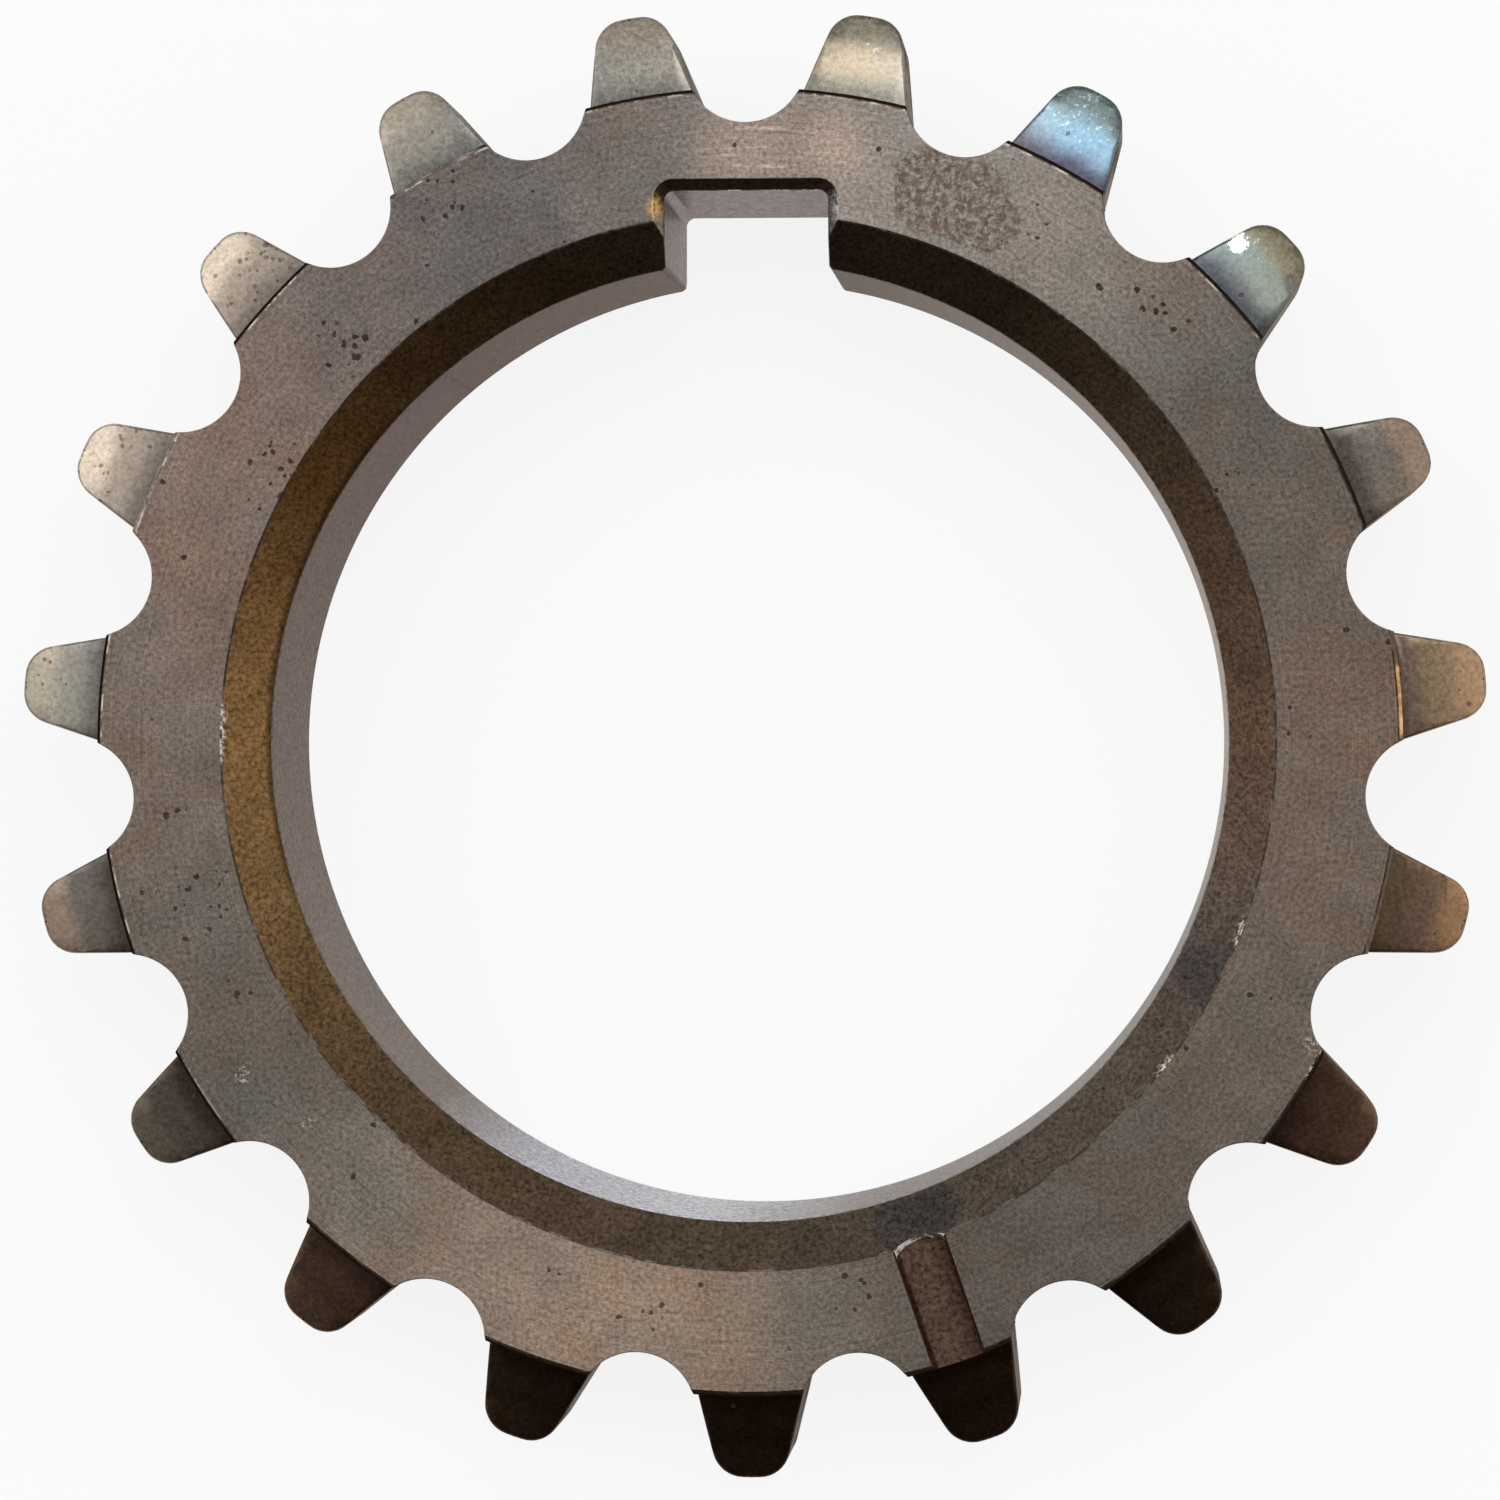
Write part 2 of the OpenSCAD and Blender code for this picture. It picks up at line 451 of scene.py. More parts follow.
# A colour as it is seen on a screen, 0 to 255
def seen(red, green, blue):
    straight = []
    for part in (red, green, blue):
        part = part / 255
        straight.append(part / 12.92 if part < 0.04045 else ((part + 0.055) / 1.055) ** 2.4)
    return (*straight, 1.0)


# Lays one tone over a share of the colour
def coat(tree, share, below, tone, mode="MIX"):
    return layer(tree, share, below, seen(*tone), mode)


# Multiplies a colour by a pattern, from darkest to lightest
def grainy(tree, color, pattern, darkest, lightest):
    sockets = {0: pattern, 1: noiseSpan[0], 2: noiseSpan[1], 3: darkest, 4: lightest}
    return layer(tree, 1.0, color, put(tree, "MapRange", sockets).outputs[0], "MULTIPLY")


# Places on the sprocket, in millimetres, the distance from the bore axis, and the turn round it.
# Front is the flat place with the back half moved out of reach, for wear that only the front has.
def places(tree):
    outOfReach = 200.0
    coords = put(tree, "TexCoord", {}).outputs["Object"]
    spot = put(tree, "VectorMath", {0: coords, 3: 1 / mm}, operation="SCALE").outputs[0]
    flat = placed(tree, "MULTIPLY", spot, (1, 1, 0))
    x, y, height = put(tree, "SeparateXYZ", {0: spot}).outputs
    radius = put(tree, "VectorMath", {0: flat}, operation="LENGTH").outputs[1]
    angle = calc(tree, "ARCTAN2", y, x)
    turn = calc(tree, "MULTIPLY_ADD", angle, 1 / (2 * math.pi), 0.5)
    behind = calc(tree, "LESS_THAN", height, hubWidth / 2)
    away = put(tree, "CombineXYZ", {0: times(tree, behind, outOfReach)}).outputs[0]
    front = placed(tree, "ADD", flat, away)
    return {
        "spot": spot, "flat": flat, "front": front,
        "x": x, "y": y, "height": height, "radius": radius, "turn": turn,
    }


# Colours round the ring, by angle in degrees. The first and last stops meet at 180 degrees.
# Most stops began as mean colours measured in the photo, and were thinned out and adjusted.
def ringTone(tree, turn, stops):
    ordered = sorted((((angle + 180) % 360) / 360, color) for angle, color in stops.items())
    first, last = ordered[0], ordered[-1]
    share = (1 - last[0]) / (first[0] + 1 - last[0])
    seam = tuple(a + (b - a) * share for a, b in zip(last[1], first[1]))
    ordered = [(0.0, seam), *ordered, (1.0, seam)]
    ramp = put(tree, "ValToRGB", {0: turn})
    for position, color in ordered[2:]:
        ramp.color_ramp.elements.new(position)
    for element, (position, color) in zip(ramp.color_ramp.elements, ordered):
        element.position = position
        element.color = seen(*color)
    return ramp.outputs[0]


# Share of a spot that lies in any of a finish's round places, each x, y and size in millimetres.
# A place is whole up to this part of its size, and fades from there.
def inPlaces(tree, spot, look, name):
    inside = None
    for x, y, size in look[name + "Places"]:
        away = measured(tree, "DISTANCE", spot, (x, y, 0))
        here = fade(tree, away, size, size * look[name + "Whole"])
        inside = here if inside is None else calc(tree, "MAXIMUM", inside, here)
    return inside


# A finish's noise, cut to the part of it that shows
def blotches(tree, kind, spot, look, name):
    return fade(tree, noise(tree, kind, spot, look[name + "Scale"]), *look[name + "Range"])


# A colour under a finish's grain, and the grain
def grained(tree, color, spot, look, kind="grain"):
    grain = noise(tree, kind, spot, look["grainScale"])
    return grainy(tree, color, grain, *look["grainShades"]), grain


# Ragged round pits in random cells: few cells have one, and most do where near is 1
def pitMask(tree, at, near, scale, size, few, most):
    cells = put(tree, "TexVoronoi", {"Vector": at["flat"], "Scale": scale})
    chance, variety = put(tree, "SeparateColor", {0: cells.outputs["Color"]}).outputs[:2]
    waver = noise(tree, "film", at["spot"], pitRim["scale"])
    ragged = calc(tree, "MULTIPLY_ADD", waver, pitRim["waver"], cells.outputs["Distance"])
    ragged = calc(tree, "MULTIPLY_ADD", variety, pitRim["variety"], ragged)
    hollow = fade(tree, ragged, size + pitRim["outside"], size + pitRim["inside"])
    limit = calc(tree, "MULTIPLY_ADD", near, most - few, few)
    return times(tree, hollow, calc(tree, "LESS_THAN", chance, limit))


# A colour with pits in it, and where they are
def pitted(tree, color, at, look, near):
    pits = pitMask(tree, at, near, **look["pitCells"])
    return coat(tree, times(tree, pits, look["pitShare"]), color, look["pit"]), pits


# Sets the finished colour, and a bump that a finish gives as a strength and a depth in millimetres
def paint(tree, shader, look, color, height=None):
    tree.links.new(color, shader.inputs["Base Color"])
    if height is not None:
        strength, depth = look["bump"]
        sockets = {"Height": height, "Strength": strength, "Distance": depth * mm}
        tree.links.new(put(tree, "Bump", sockets).outputs[0], shader.inputs["Normal"])


# Steel under a dark oxide: edge is what is left of its gloss at a flat angle
def newFinish(name, look):
    material = bpy.data.materials.new(name)
    material.use_nodes = True
    tree = material.node_tree
    shader = tree.nodes["Principled BSDF"]
    shader.inputs["Metallic"].default_value = 1.0
    shader.inputs["Roughness"].default_value = look["roughness"]
    shader.inputs["Specular Tint"].default_value = (*look["edge"], 1)
    return material, tree, shader, places(tree)


# Flat turned faces: an oil film on fine turning lines, with pits and a rusty patch beside the keyway, and a
# painted sheen in the ring tone
turnedFace = {
    "roughness": 0.36,
    "edge": (1, 1, 1),
    "sheen": 0.75,
    "sheenTurn": 0.25,
    "bump": (0.25, 0.05),
    # The ring tone paints part of the turning lines' sheen: lighter at about 80 and 260 degrees, darker
    # between
    "tone": {
        0: (124, 107, 95), 38: (95, 89, 83), 82: (140, 130, 122), 122: (115, 107, 104),
        150: (130, 112, 102), 215: (113, 105, 96), 262: (174, 152, 134), 289: (119, 111, 103),
    },
    "coolFilm": (243, 251, 254),
    "coolScale": 0.16,
    "coolRange": (0.48, 0.62),
    "warmFilm": (255, 247, 241),
    "warmScale": 0.2,
    "warmRange": (0.48, 0.62),
    "otherPattern": (70, 20, 0),      # keeps the warm film from repeating the cool one
    "cloudScale": 0.45,
    "cloudShades": (0.88, 1.16),
    "lineScale": 9.0,
    "lineShades": (0.9, 1.12),
    "grainScale": 5.5,
    "grainShades": (0.55, 1.5),
    "grainHeight": 0.4,
    "pit": (50, 37, 30),
    "pitPlaces": [
        (15.4, 19.3, 0.7), (16.5, 18.8, 0.7), (17.5, 18.3, 0.7), (18.4, 17.8, 0.7), (20.8, 10.5, 1.4),
        (23.3, 0.7, 1.7), (-21.6, -10.5, 0.8), (-23.7, -6.9, 1.9), (-24.6, -2.7, 0.8), (-19.6, 11.0, 2.4),
        (-17.7, 17.1, 2.0), (-13.4, 23.3, 1.9), (-8.4, -22.9, 0.9), (-3.9, -24.4, 0.9),
        (-1.6, -23.0, 0.7), (4.4, -23.3, 1.3), (12.6, 22.0, 1.0), (6.0, 25.2, 0.9),
    ],
    "pitWhole": 0.6,
    "pitCells": {"scale": 2.2, "size": 0.26, "few": 0.012, "most": 0.75},
    "pitShare": 0.68,
    "pitRough": 0.3,
    "rust": (92, 70, 55),
    "rustPlaces": [(7.9, 23.4, 2.1), (9.4, 22.9, 2.1), (10.4, 22.0, 1.5)],
    "rustWhole": 0.8,
    "rustSide": (6.3, 6.42),          # the patch ends in a straight side at this x
    "rustScale": 2.9,
    "rustRange": (0.42, 0.56),
    "rustShare": 0.75,
    "rustRough": 0.12,
    "dulled": (162, 152, 143),
    "dulledShare": 0.55,
    "scar": (200, 190, 180),
    "scarPlaces": [(23.9, -12.9, 0.7), (-21.6, -14.2, 0.6), (-18.8, -16.2, 0.5), (-24.4, -16.0, 0.6)],
    "scarWhole": 0.35,
    "scarLift": 0.14,
    "scarRange": (0.66, 0.74),
    "brushed": (222, 204, 188),
    "brushedPlaces": [(0.0, 25.0, 2.6)],
    "brushedWhole": 0.2,
    "brushStretch": (0.35, 5.0, 1),
    "brushedScale": 1.0,
    "brushedRange": (0.58, 0.7),
    "brushShare": 0.6,
    "rosy": (160, 144, 131),
    "rosyPlaces": [(-0.2, 25.1, 3.2), (3.7, 25.2, 2.2)],
    "rosyWhole": 0.05,
    # Gold at the keyway's left corner: partly a painted reflection of light from the right
    "gold": (220, 176, 116),
    "goldPlaces": [(-3.85, 22.75, 0.55)],
    "goldWhole": 0.05,
}


def turnedFaceFinish():
    look = turnedFace
    material, tree, shader, at = newFinish("turnedFace", look)
    # Ring tone with a painted sheen, lighter at about 80 and 260 degrees
    color = ringTone(tree, at["turn"], look["tone"])
    other = placed(tree, "ADD", at["flat"], look["otherPattern"])
    for film, spot in (("cool", at["flat"]), ("warm", other)):
        share = blotches(tree, "film", spot, look, film)
        color = coat(tree, share, color, look[film + "Film"], "MULTIPLY")
    color = grainy(tree, color, noise(tree, "film", other, look["cloudScale"]), *look["cloudShades"])
    # Rosy above the keyway, and gold at its left corner, which is partly a painted reflection
    for place in ("rosy", "gold"):
        color = coat(tree, inPlaces(tree, at["front"], look, place), color, look[place])
    color = grainy(tree, color, toolLines(tree, at["radius"], look["lineScale"]), *look["lineShades"])
    # Bright brush lines above the keyway
    stretched = placed(tree, "MULTIPLY", at["flat"], look["brushStretch"])
    brushed = blotches(tree, "plain", stretched, look, "brushed")
    brushed = times(tree, brushed, inPlaces(tree, at["front"], look, "brushed"))
    color = coat(tree, times(tree, brushed, look["brushShare"]), color, look["brushed"])
    # Rust freckles on a dulled patch
    rustArea = inPlaces(tree, at["front"], look, "rust")
    rustArea = times(tree, rustArea, fade(tree, at["x"], *look["rustSide"]))
    color = coat(tree, times(tree, rustArea, look["dulledShare"]), color, look["dulled"])
    freckles = times(tree, rustArea, blotches(tree, "rust", at["spot"], look, "rust"))
    freckles = times(tree, freckles, look["rustShare"])
    color = coat(tree, freckles, color, look["rust"])
    color, grain = grained(tree, color, at["spot"], look)
    color, pits = pitted(tree, color, at, look, inPlaces(tree, at["front"], look, "pit"))
    scarArea = inPlaces(tree, at["front"], look, "scar")
    scars = calc(tree, "MULTIPLY_ADD", scarArea, look["scarLift"], grain)
    scars = times(tree, fade(tree, scars, *look["scarRange"]), scarArea)
    color = coat(tree, scars, color, look["scar"])
    rough = calc(tree, "MULTIPLY_ADD", pits, look["pitRough"], look["roughness"])
    rough = calc(tree, "MULTIPLY_ADD", rustArea, look["rustRough"], rough)
    tree.links.new(rough, shader.inputs["Roughness"])
    height = calc(tree, "SUBTRACT", times(tree, grain, look["grainHeight"]), pits)
    paint(tree, shader, look, color, height)
    # The turning lines stretch a highlight across themselves
    shader.inputs["Anisotropic"].default_value = look["sheen"]
    shader.inputs["Anisotropic Rotation"].default_value = look["sheenTurn"]
    tangent = put(tree, "Tangent", {}, direction_type="RADIAL", axis="Z").outputs[0]
    tree.links.new(tangent, shader.inputs["Tangent"])
    return material


# Turned edges of the front face: bright in broken lines and chipped in a few places, partly worn bare metal
# and partly painted edge highlights
wornEdge = {
    "roughness": 0.4,
    "edge": (1, 1, 1),
    "dull": (104, 94, 86),
    "oiled": (62, 53, 46),
    "outerStart": 1.0,            # the outer edge's look starts this far from the lead-in and the shoulder
    # Bright edges: worn bare metal with painted edge highlights
    "bare": (214, 204, 192),
    "bareMatte": 0.7,             # bare spots are less of a mirror, and so bright from every side
    "wearScale": 0.8,
    "wearRange": (0.47, 0.6),
    "wearSide": (-0.6, 0.8, 0),   # towards the side that is worn most
    "wearReach": (-8.0, 12.0),
    "outerWear": 0.7,
    "leastWear": 0.12,
    "chipPlaces": [
        (-22.4, 0.4, 1.6), (21.0, -8.2, 0.7), (17.8, -13.8, 0.7), (-24.6, 13.2, 0.7), (23.9, -13.6, 0.9),
        (1.1, 23.5, 0.9), (-0.7, 23.5, 0.6), (2.6, 23.5, 0.6),
    ],
    "chipWhole": 0.5,
    "chipScale": 3.0,
    "chipRange": (0.42, 0.58),
    "grainScale": 5.5,
    "grainShades": (0.7, 1.3),
}


def wornEdgeHighlightFinish():
    look = wornEdge
    material, tree, shader, at = newFinish("wornEdge", look)
    broken = blotches(tree, "wear", at["spot"], look, "wear")
    outer = fade(tree, at["radius"], leadRadius + look["outerStart"], hubRadius - look["outerStart"])
    upper = measured(tree, "DOT_PRODUCT", at["flat"], look["wearSide"])
    outer = times(tree, outer, fade(tree, upper, *look["wearReach"]))
    # Bright broken lines and chips: worn bare metal with painted edge highlights
    bare = times(tree, broken, calc(tree, "MULTIPLY_ADD", outer, look["outerWear"], look["leastWear"]))
    chips = blotches(tree, "grain", at["spot"], look, "chip")
    chips = times(tree, chips, inPlaces(tree, at["front"], look, "chip"))
    bare = calc(tree, "MAXIMUM", bare, chips)
    color = coat(tree, outer, seen(*look["oiled"]), look["dull"])
    color = coat(tree, bare, color, look["bare"])
    color, grain = grained(tree, color, at["spot"], look)
    paint(tree, shader, look, color)
    metal = calc(tree, "MULTIPLY_ADD", bare, -look["bareMatte"], 1.0)
    tree.links.new(metal, shader.inputs["Metallic"])
    return material


# Lead-in of the bore: burnt oil, brown where it is thin, with painted light and shade round the ring,
# lightest at the left and darkest near the top
leadVarnish = {
    "roughness": 0.42,
    "edge": (1, 1, 1),
    "bump": (0.2, 0.04),
    # Burnt oil tones with painted light and shade: lightest at the left, darkest near the top
    "tone": {
        0: (97, 77, 62), 60: (51, 40, 28), 100: (60, 48, 36), 150: (86, 59, 32),
        180: (121, 92, 58), 222: (78, 62, 45), 300: (82, 72, 62), 338: (84, 73, 65),
    },
    "cloudScale": 0.5,
    "cloudShades": (0.8, 1.2),
    "stain": (58, 55, 58),
    "stainPlaces": [(6.5, -20.5, 1.7), (8.0, -19.9, 1.6), (19.6, -9.9, 2.0)],
    "stainWhole": 0.3,
    "stainClouds": (1.2, -0.6),
    "stainRange": (0.0, 0.9),
    "stainShare": 0.7,
    "grainScale": 5.5,
    "grainShades": (0.35, 1.7),
    # Painted shade: a dark line where the lead-in meets the bore, at the left
    "foot": (40, 29, 20),             # dark line along the inner edge, at the left
    "footWidth": (0.35, 0.1),
    "footPlaces": [(-20.0, 4.0, 15.0)],
    "footWhole": 0.5,
    "footShare": 0.7,
    # Nicks on the rim, bright with a painted highlight
    "nick": (206, 196, 184),
    "nickPlaces": [(-22.2, 0.5, 1.3), (21.0, -8.0, 0.7), (17.6, -13.6, 0.7)],
    "nickWhole": 0.35,
    "nickWidth": 0.3,
    "nickRange": (0.46, 0.56),
}


def leadVarnishAndShadeFinish():
    look = leadVarnish
    material, tree, shader, at = newFinish("leadVarnish", look)
    # Painted light and shade round the ring, over the burnt oil's tones
    color = ringTone(tree, at["turn"], look["tone"])
    cloud = noise(tree, "oil", at["spot"], look["cloudScale"])
    stained = calc(tree, "MULTIPLY_ADD", cloud, *look["stainClouds"])
    stained = calc(tree, "ADD", inPlaces(tree, at["flat"], look, "stain"), stained)
    stained = times(tree, fade(tree, stained, *look["stainRange"]), look["stainShare"])
    color = coat(tree, stained, color, look["stain"])
    color = grainy(tree, color, cloud, *look["cloudShades"])
    color, grain = grained(tree, color, at["spot"], look)
    # Painted shade along the inner edge of the lead-in, at the left
    foot = fade(tree, at["radius"], *[boreRadius + width for width in look["footWidth"]])
    foot = times(tree, foot, look["footShare"])
    foot = times(tree, foot, inPlaces(tree, at["flat"], look, "foot"))
    color = coat(tree, foot, color, look["foot"])
    # Nicks on the rim, painted bright as highlights
    rim = fade(tree, at["radius"], leadRadius - look["nickWidth"], leadRadius)
    nickGlints = times(tree, rim, inPlaces(tree, at["flat"], look, "nick"))
    nickGlints = times(tree, nickGlints, fade(tree, grain, *look["nickRange"]))
    color = coat(tree, nickGlints, color, look["nick"])
    paint(tree, shader, look, color, grain)
    return material


# Bore and keyway walls: smoother steel, brown to blue gray, with painted light and shade round the ring,
# light blue gray on the lower wall and darker on the upper
boreSteel = {
    "roughness": 0.38,
    "edge": (0.57, 0.52, 0.5),
    "bump": (0.15, 0.03),
    # Painted light and shade round the bore: light and blue gray on the lower and right walls, darker and
    # brown on the upper
    "tone": {
        0: (192, 184, 176), 75: (104, 92, 80), 130: (106, 91, 84), 228: (142, 134, 126),
        243: (208, 213, 223), 264: (224, 230, 237), 285: (160, 156, 152), 330: (154, 152, 146),
    },
    "keyway": (158, 150, 152),
    "keywayStart": (0.05, 0.3),       # outwards from the bore
    "grainScale": 5.0,
    "grainStretch": (1, 1, 0.6),
    "grainShades": (0.5, 1.5),
    "lineScale": 4.0,
    "lineShades": (0.9, 1.1),
    "pit": (50, 37, 30),
    "pitCells": {"scale": 1.3, "size": 0.2, "few": 0.05, "most": 0.2},
    "pitShare": 0.6,
}


def boreSteelFinish():
    look = boreSteel
    material, tree, shader, at = newFinish("boreSteel", look)
    # Ring tone with painted light and shade
    color = ringTone(tree, at["turn"], look["tone"])
    inKeyway = fade(tree, at["radius"], *[boreRadius + start for start in look["keywayStart"]])
    color = coat(tree, inKeyway, color, look["keyway"])
    stretched = placed(tree, "MULTIPLY", at["spot"], look["grainStretch"])
    color, grain = grained(tree, color, stretched, look)
    color = grainy(tree, color, toolLines(tree, at["height"], look["lineScale"]), *look["lineShades"])
    color, pits = pitted(tree, color, at, look, inKeyway)
    paint(tree, shader, look, color, grain)
    return material


# Chamfer of the keyway: dark at the floor, clean at the sides, and bright at two corners, partly worn and
# partly a painted reflection, gold at the left and whitish at the right
keyChamfer = {
    "roughness": 0.35,
    "edge": (0.5, 0.5, 0.5),
    "bump": (0.2, 0.04),
    "clean": (120, 112, 105),
    "dark": (52, 38, 32),
    "darkStart": (-1.0, -0.4),        # upwards from the keyway's floor
    # Bright corners: partly wear and partly a painted reflection, gold at the left and whitish at the right
    "gold": (226, 178, 112),
    "goldPlaces": [(-3.9, 22.75, 0.75)],
    "goldWhole": 0.1,
    "goldRange": (0.25, 0.62),
    "bare": (206, 200, 192),
    "barePlaces": [(3.85, 22.8, 0.8)],
    "bareWhole": 0.4,
    "bareRange": (0.3, 0.64),
    "grainScale": 4.0,
    "grainShades": (0.5, 1.5),
}


def keyChamferFinish():
    look = keyChamfer
    material, tree, shader, at = newFinish("keyChamfer", look)
    dark = fade(tree, at["y"], *[keyFloor + start for start in look["darkStart"]])
    color = coat(tree, dark, seen(*look["clean"]), look["dark"])
    color, grain = grained(tree, color, at["spot"], look, "crust")
    # Bright corners, partly wear and partly painted reflections
    for place in ("gold", "bare"):
        share = inPlaces(tree, at["flat"], look, place)
        share = times(tree, share, fade(tree, grain, *look[place + "Range"]))
        color = coat(tree, share, color, look[place])
    paint(tree, shader, look, color, grain)
    return material


# Sides of the teeth: heat tints that change from tooth to tooth, with painted light and shade, lighter on the
# upper teeth and black round the lower teeth, which is burnt oil and a painted dark reflection
toothTint = {
    "roughness": 0.25,
    "edge": (1, 1, 1),
    "bump": (0.2, 0.04),
    # Each temper shades from the root of a tooth over its waist to its crown.
    # The tones began as colours measured on the photo's teeth, and six tempers belong to one tooth each.
    # The tempers also hold painted light and shade: lighter on the upper teeth, darker on the lower, and near
    # black on the lowest with a painted dark reflection
    "tempers": {
        "steel": [(108, 106, 103), (131, 127, 118), (148, 138, 124)],
        "pale": [(117, 107, 99), (139, 127, 115), (184, 170, 153)],
        "dusky": [(76, 69, 63), (101, 94, 87), (137, 118, 104)],
        "oiled": [(62, 44, 36), (90, 66, 52), (100, 76, 60)],
        "soot": [(58, 49, 42), (88, 80, 72), (105, 96, 84)],
        "burnt": [(29, 18, 10), (49, 36, 25), (67, 49, 35)],
        "tan": [(115, 98, 87), (143, 121, 96), (163, 132, 104)],
        "umber": [(106, 87, 67), (117, 94, 79), (150, 117, 87)],
        "teal": [(74, 76, 80), (100, 106, 99), (112, 104, 86)],
        "blue": [(76, 77, 94), (99, 126, 142), (84, 97, 98)],
        "straw": [(130, 126, 115), (150, 137, 119), (112, 105, 92)],
    },
    # From the keyway anticlockwise
    "teeth": [
        "steel", "steel", "pale", "pale", "steel", "dusky", "soot", "oiled", "burnt", "burnt", "burnt",
        "burnt", "oiled", "umber", "tan", "dusky", "teal", "blue", "straw",
    ],
    "waist": (0.3, 1.5),              # root gives way to waist, outwards from the shoulder
    "crown": (1.9, 3.0),              # and waist to crown
    "waverScale": 0.7,
    "waver": (1.3, -0.65),
    "grainScale": 5.0,
    "grainShades": (0.7, 1.35),
    "grainHeight": 0.3,
    "grainRough": (0.2, 0.15),
    "pit": (78, 56, 46),
    "pitPlaces": [
        (-27.1, 13.3, 1.0), (-28.4, 11.2, 1.1), (-30.6, 2.8, 1.2), (-22.2, 20.0, 1.8), (-20.6, 20.8, 1.2),
    ],
    "pitWhole": 0.5,
    "pitCells": {"scale": 2.7, "size": 0.24, "few": 0.04, "most": 0.8},
    "pitShare": 0.65,
    "fleck": (236, 240, 238),
    "fleckPlaces": [(14.3, 26.6, 1.9), (13.2, 27.6, 1.2), (21.9, 21.0, 1.0), (5.2, 29.6, 1.2)],
    "fleckWhole": 0.4,
    "fleckScale": 4.6,
    "fleckRange": (0.56, 0.72),
    "fleckShare": 0.35,
    # A painted glint: a bright spot where light catches a dent on one tooth
    "dent": (238, 234, 226),
    "dentPlaces": [(21.0, 21.3, 0.75)],
    "dentWhole": 0.1,
    "dentGrain": 1.6,
    "dentRange": (1.2, 1.5),
}


# Stops round the ring, one in the middle of each tooth: zone 0 is the root, 1 the waist and 2 the crown
def temperStops(zone):
    stops = {}
    for i, temper in enumerate(toothTint["teeth"]):
        stops[math.degrees(keySide + (i + 0.5) * gapAngle)] = toothTint["tempers"][temper][zone]
    return stops


def toothTintAndShadeFinish():
    look = toothTint
    material, tree, shader, at = newFinish("toothTint", look)
    waver = noise(tree, "film", at["spot"], look["waverScale"])
    outwards = calc(tree, "ADD", at["radius"], calc(tree, "MULTIPLY_ADD", waver, *look["waver"]))
    # Ring tones for root, waist and crown, holding heat tints and painted light and shade
    color, waist, crown = [ringTone(tree, at["turn"], temperStops(zone)) for zone in range(3)]
    for zone, tone in (("waist", waist), ("crown", crown)):
        share = fade(tree, outwards, *[hubRadius + start for start in look[zone]])
        color = layer(tree, share, color, tone)
    color, grain = grained(tree, color, at["spot"], look)
    color, pits = pitted(tree, color, at, look, inPlaces(tree, at["front"], look, "pit"))
    flecks = blotches(tree, "grain", at["spot"], look, "fleck")
    flecks = times(tree, flecks, inPlaces(tree, at["front"], look, "fleck"))
    color = coat(tree, times(tree, flecks, look["fleckShare"]), color, look["fleck"], "SCREEN")
    # Painted glint in a dent
    dentGlints = inPlaces(tree, at["front"], look, "dent")
    dentGlints = calc(tree, "MULTIPLY_ADD", grain, look["dentGrain"], dentGlints)
    color = coat(tree, fade(tree, dentGlints, *look["dentRange"]), color, look["dent"])
    rough = calc(tree, "MULTIPLY_ADD", grain, *look["grainRough"])
    tree.links.new(rough, shader.inputs["Roughness"])
    height = calc(tree, "SUBTRACT", times(tree, grain, look["grainHeight"]), pits)
    paint(tree, shader, look, color, height)
    return material


# Flanks and seats of the teeth: lighter above and brown to black below, partly oil and partly painted light
# and shade round the ring
flankSteel = {
    "roughness": 0.32,
    "edge": (0.36, 0.3, 0.24),
    "bump": (0.15, 0.03),
    # Painted light and shade round the ring: lightest at about 66 degrees, darkest at about 252
    "tone": {
        5: (114, 98, 84), 66: (146, 136, 128), 105: (96, 90, 84), 185: (83, 75, 67),
        252: (44, 34, 26), 320: (78, 63, 49),
    },
    "oil": (58, 44, 34),
    "oilScale": 0.5,
    "oilRange": (0.46, 0.64),
    "oilShare": 0.7,
    "oilRough": 0.15,
    "grainScale": 5.0,
    "grainShades": (0.65, 1.35),
    "streakStretch": (3, 3, 0.4),
    "streakScale": 1.0,
    "streakShades": (0.88, 1.12),
}


def flankSteelFinish():
    look = flankSteel
    material, tree, shader, at = newFinish("flankSteel", look)
    # Ring tone with painted light and shade
    color = ringTone(tree, at["turn"], look["tone"])
    oil = blotches(tree, "oil", at["spot"], look, "oil")
    color = coat(tree, times(tree, oil, look["oilShare"]), color, look["oil"])
    color, grain = grained(tree, color, at["spot"], look)
    stretched = placed(tree, "MULTIPLY", at["spot"], look["streakStretch"])
    streaks = noise(tree, "plain", stretched, look["streakScale"])
    color = grainy(tree, color, streaks, *look["streakShades"])
    rough = calc(tree, "MULTIPLY_ADD", oil, look["oilRough"], look["roughness"])
    tree.links.new(rough, shader.inputs["Roughness"])
    paint(tree, shader, look, color, grain)
    return material


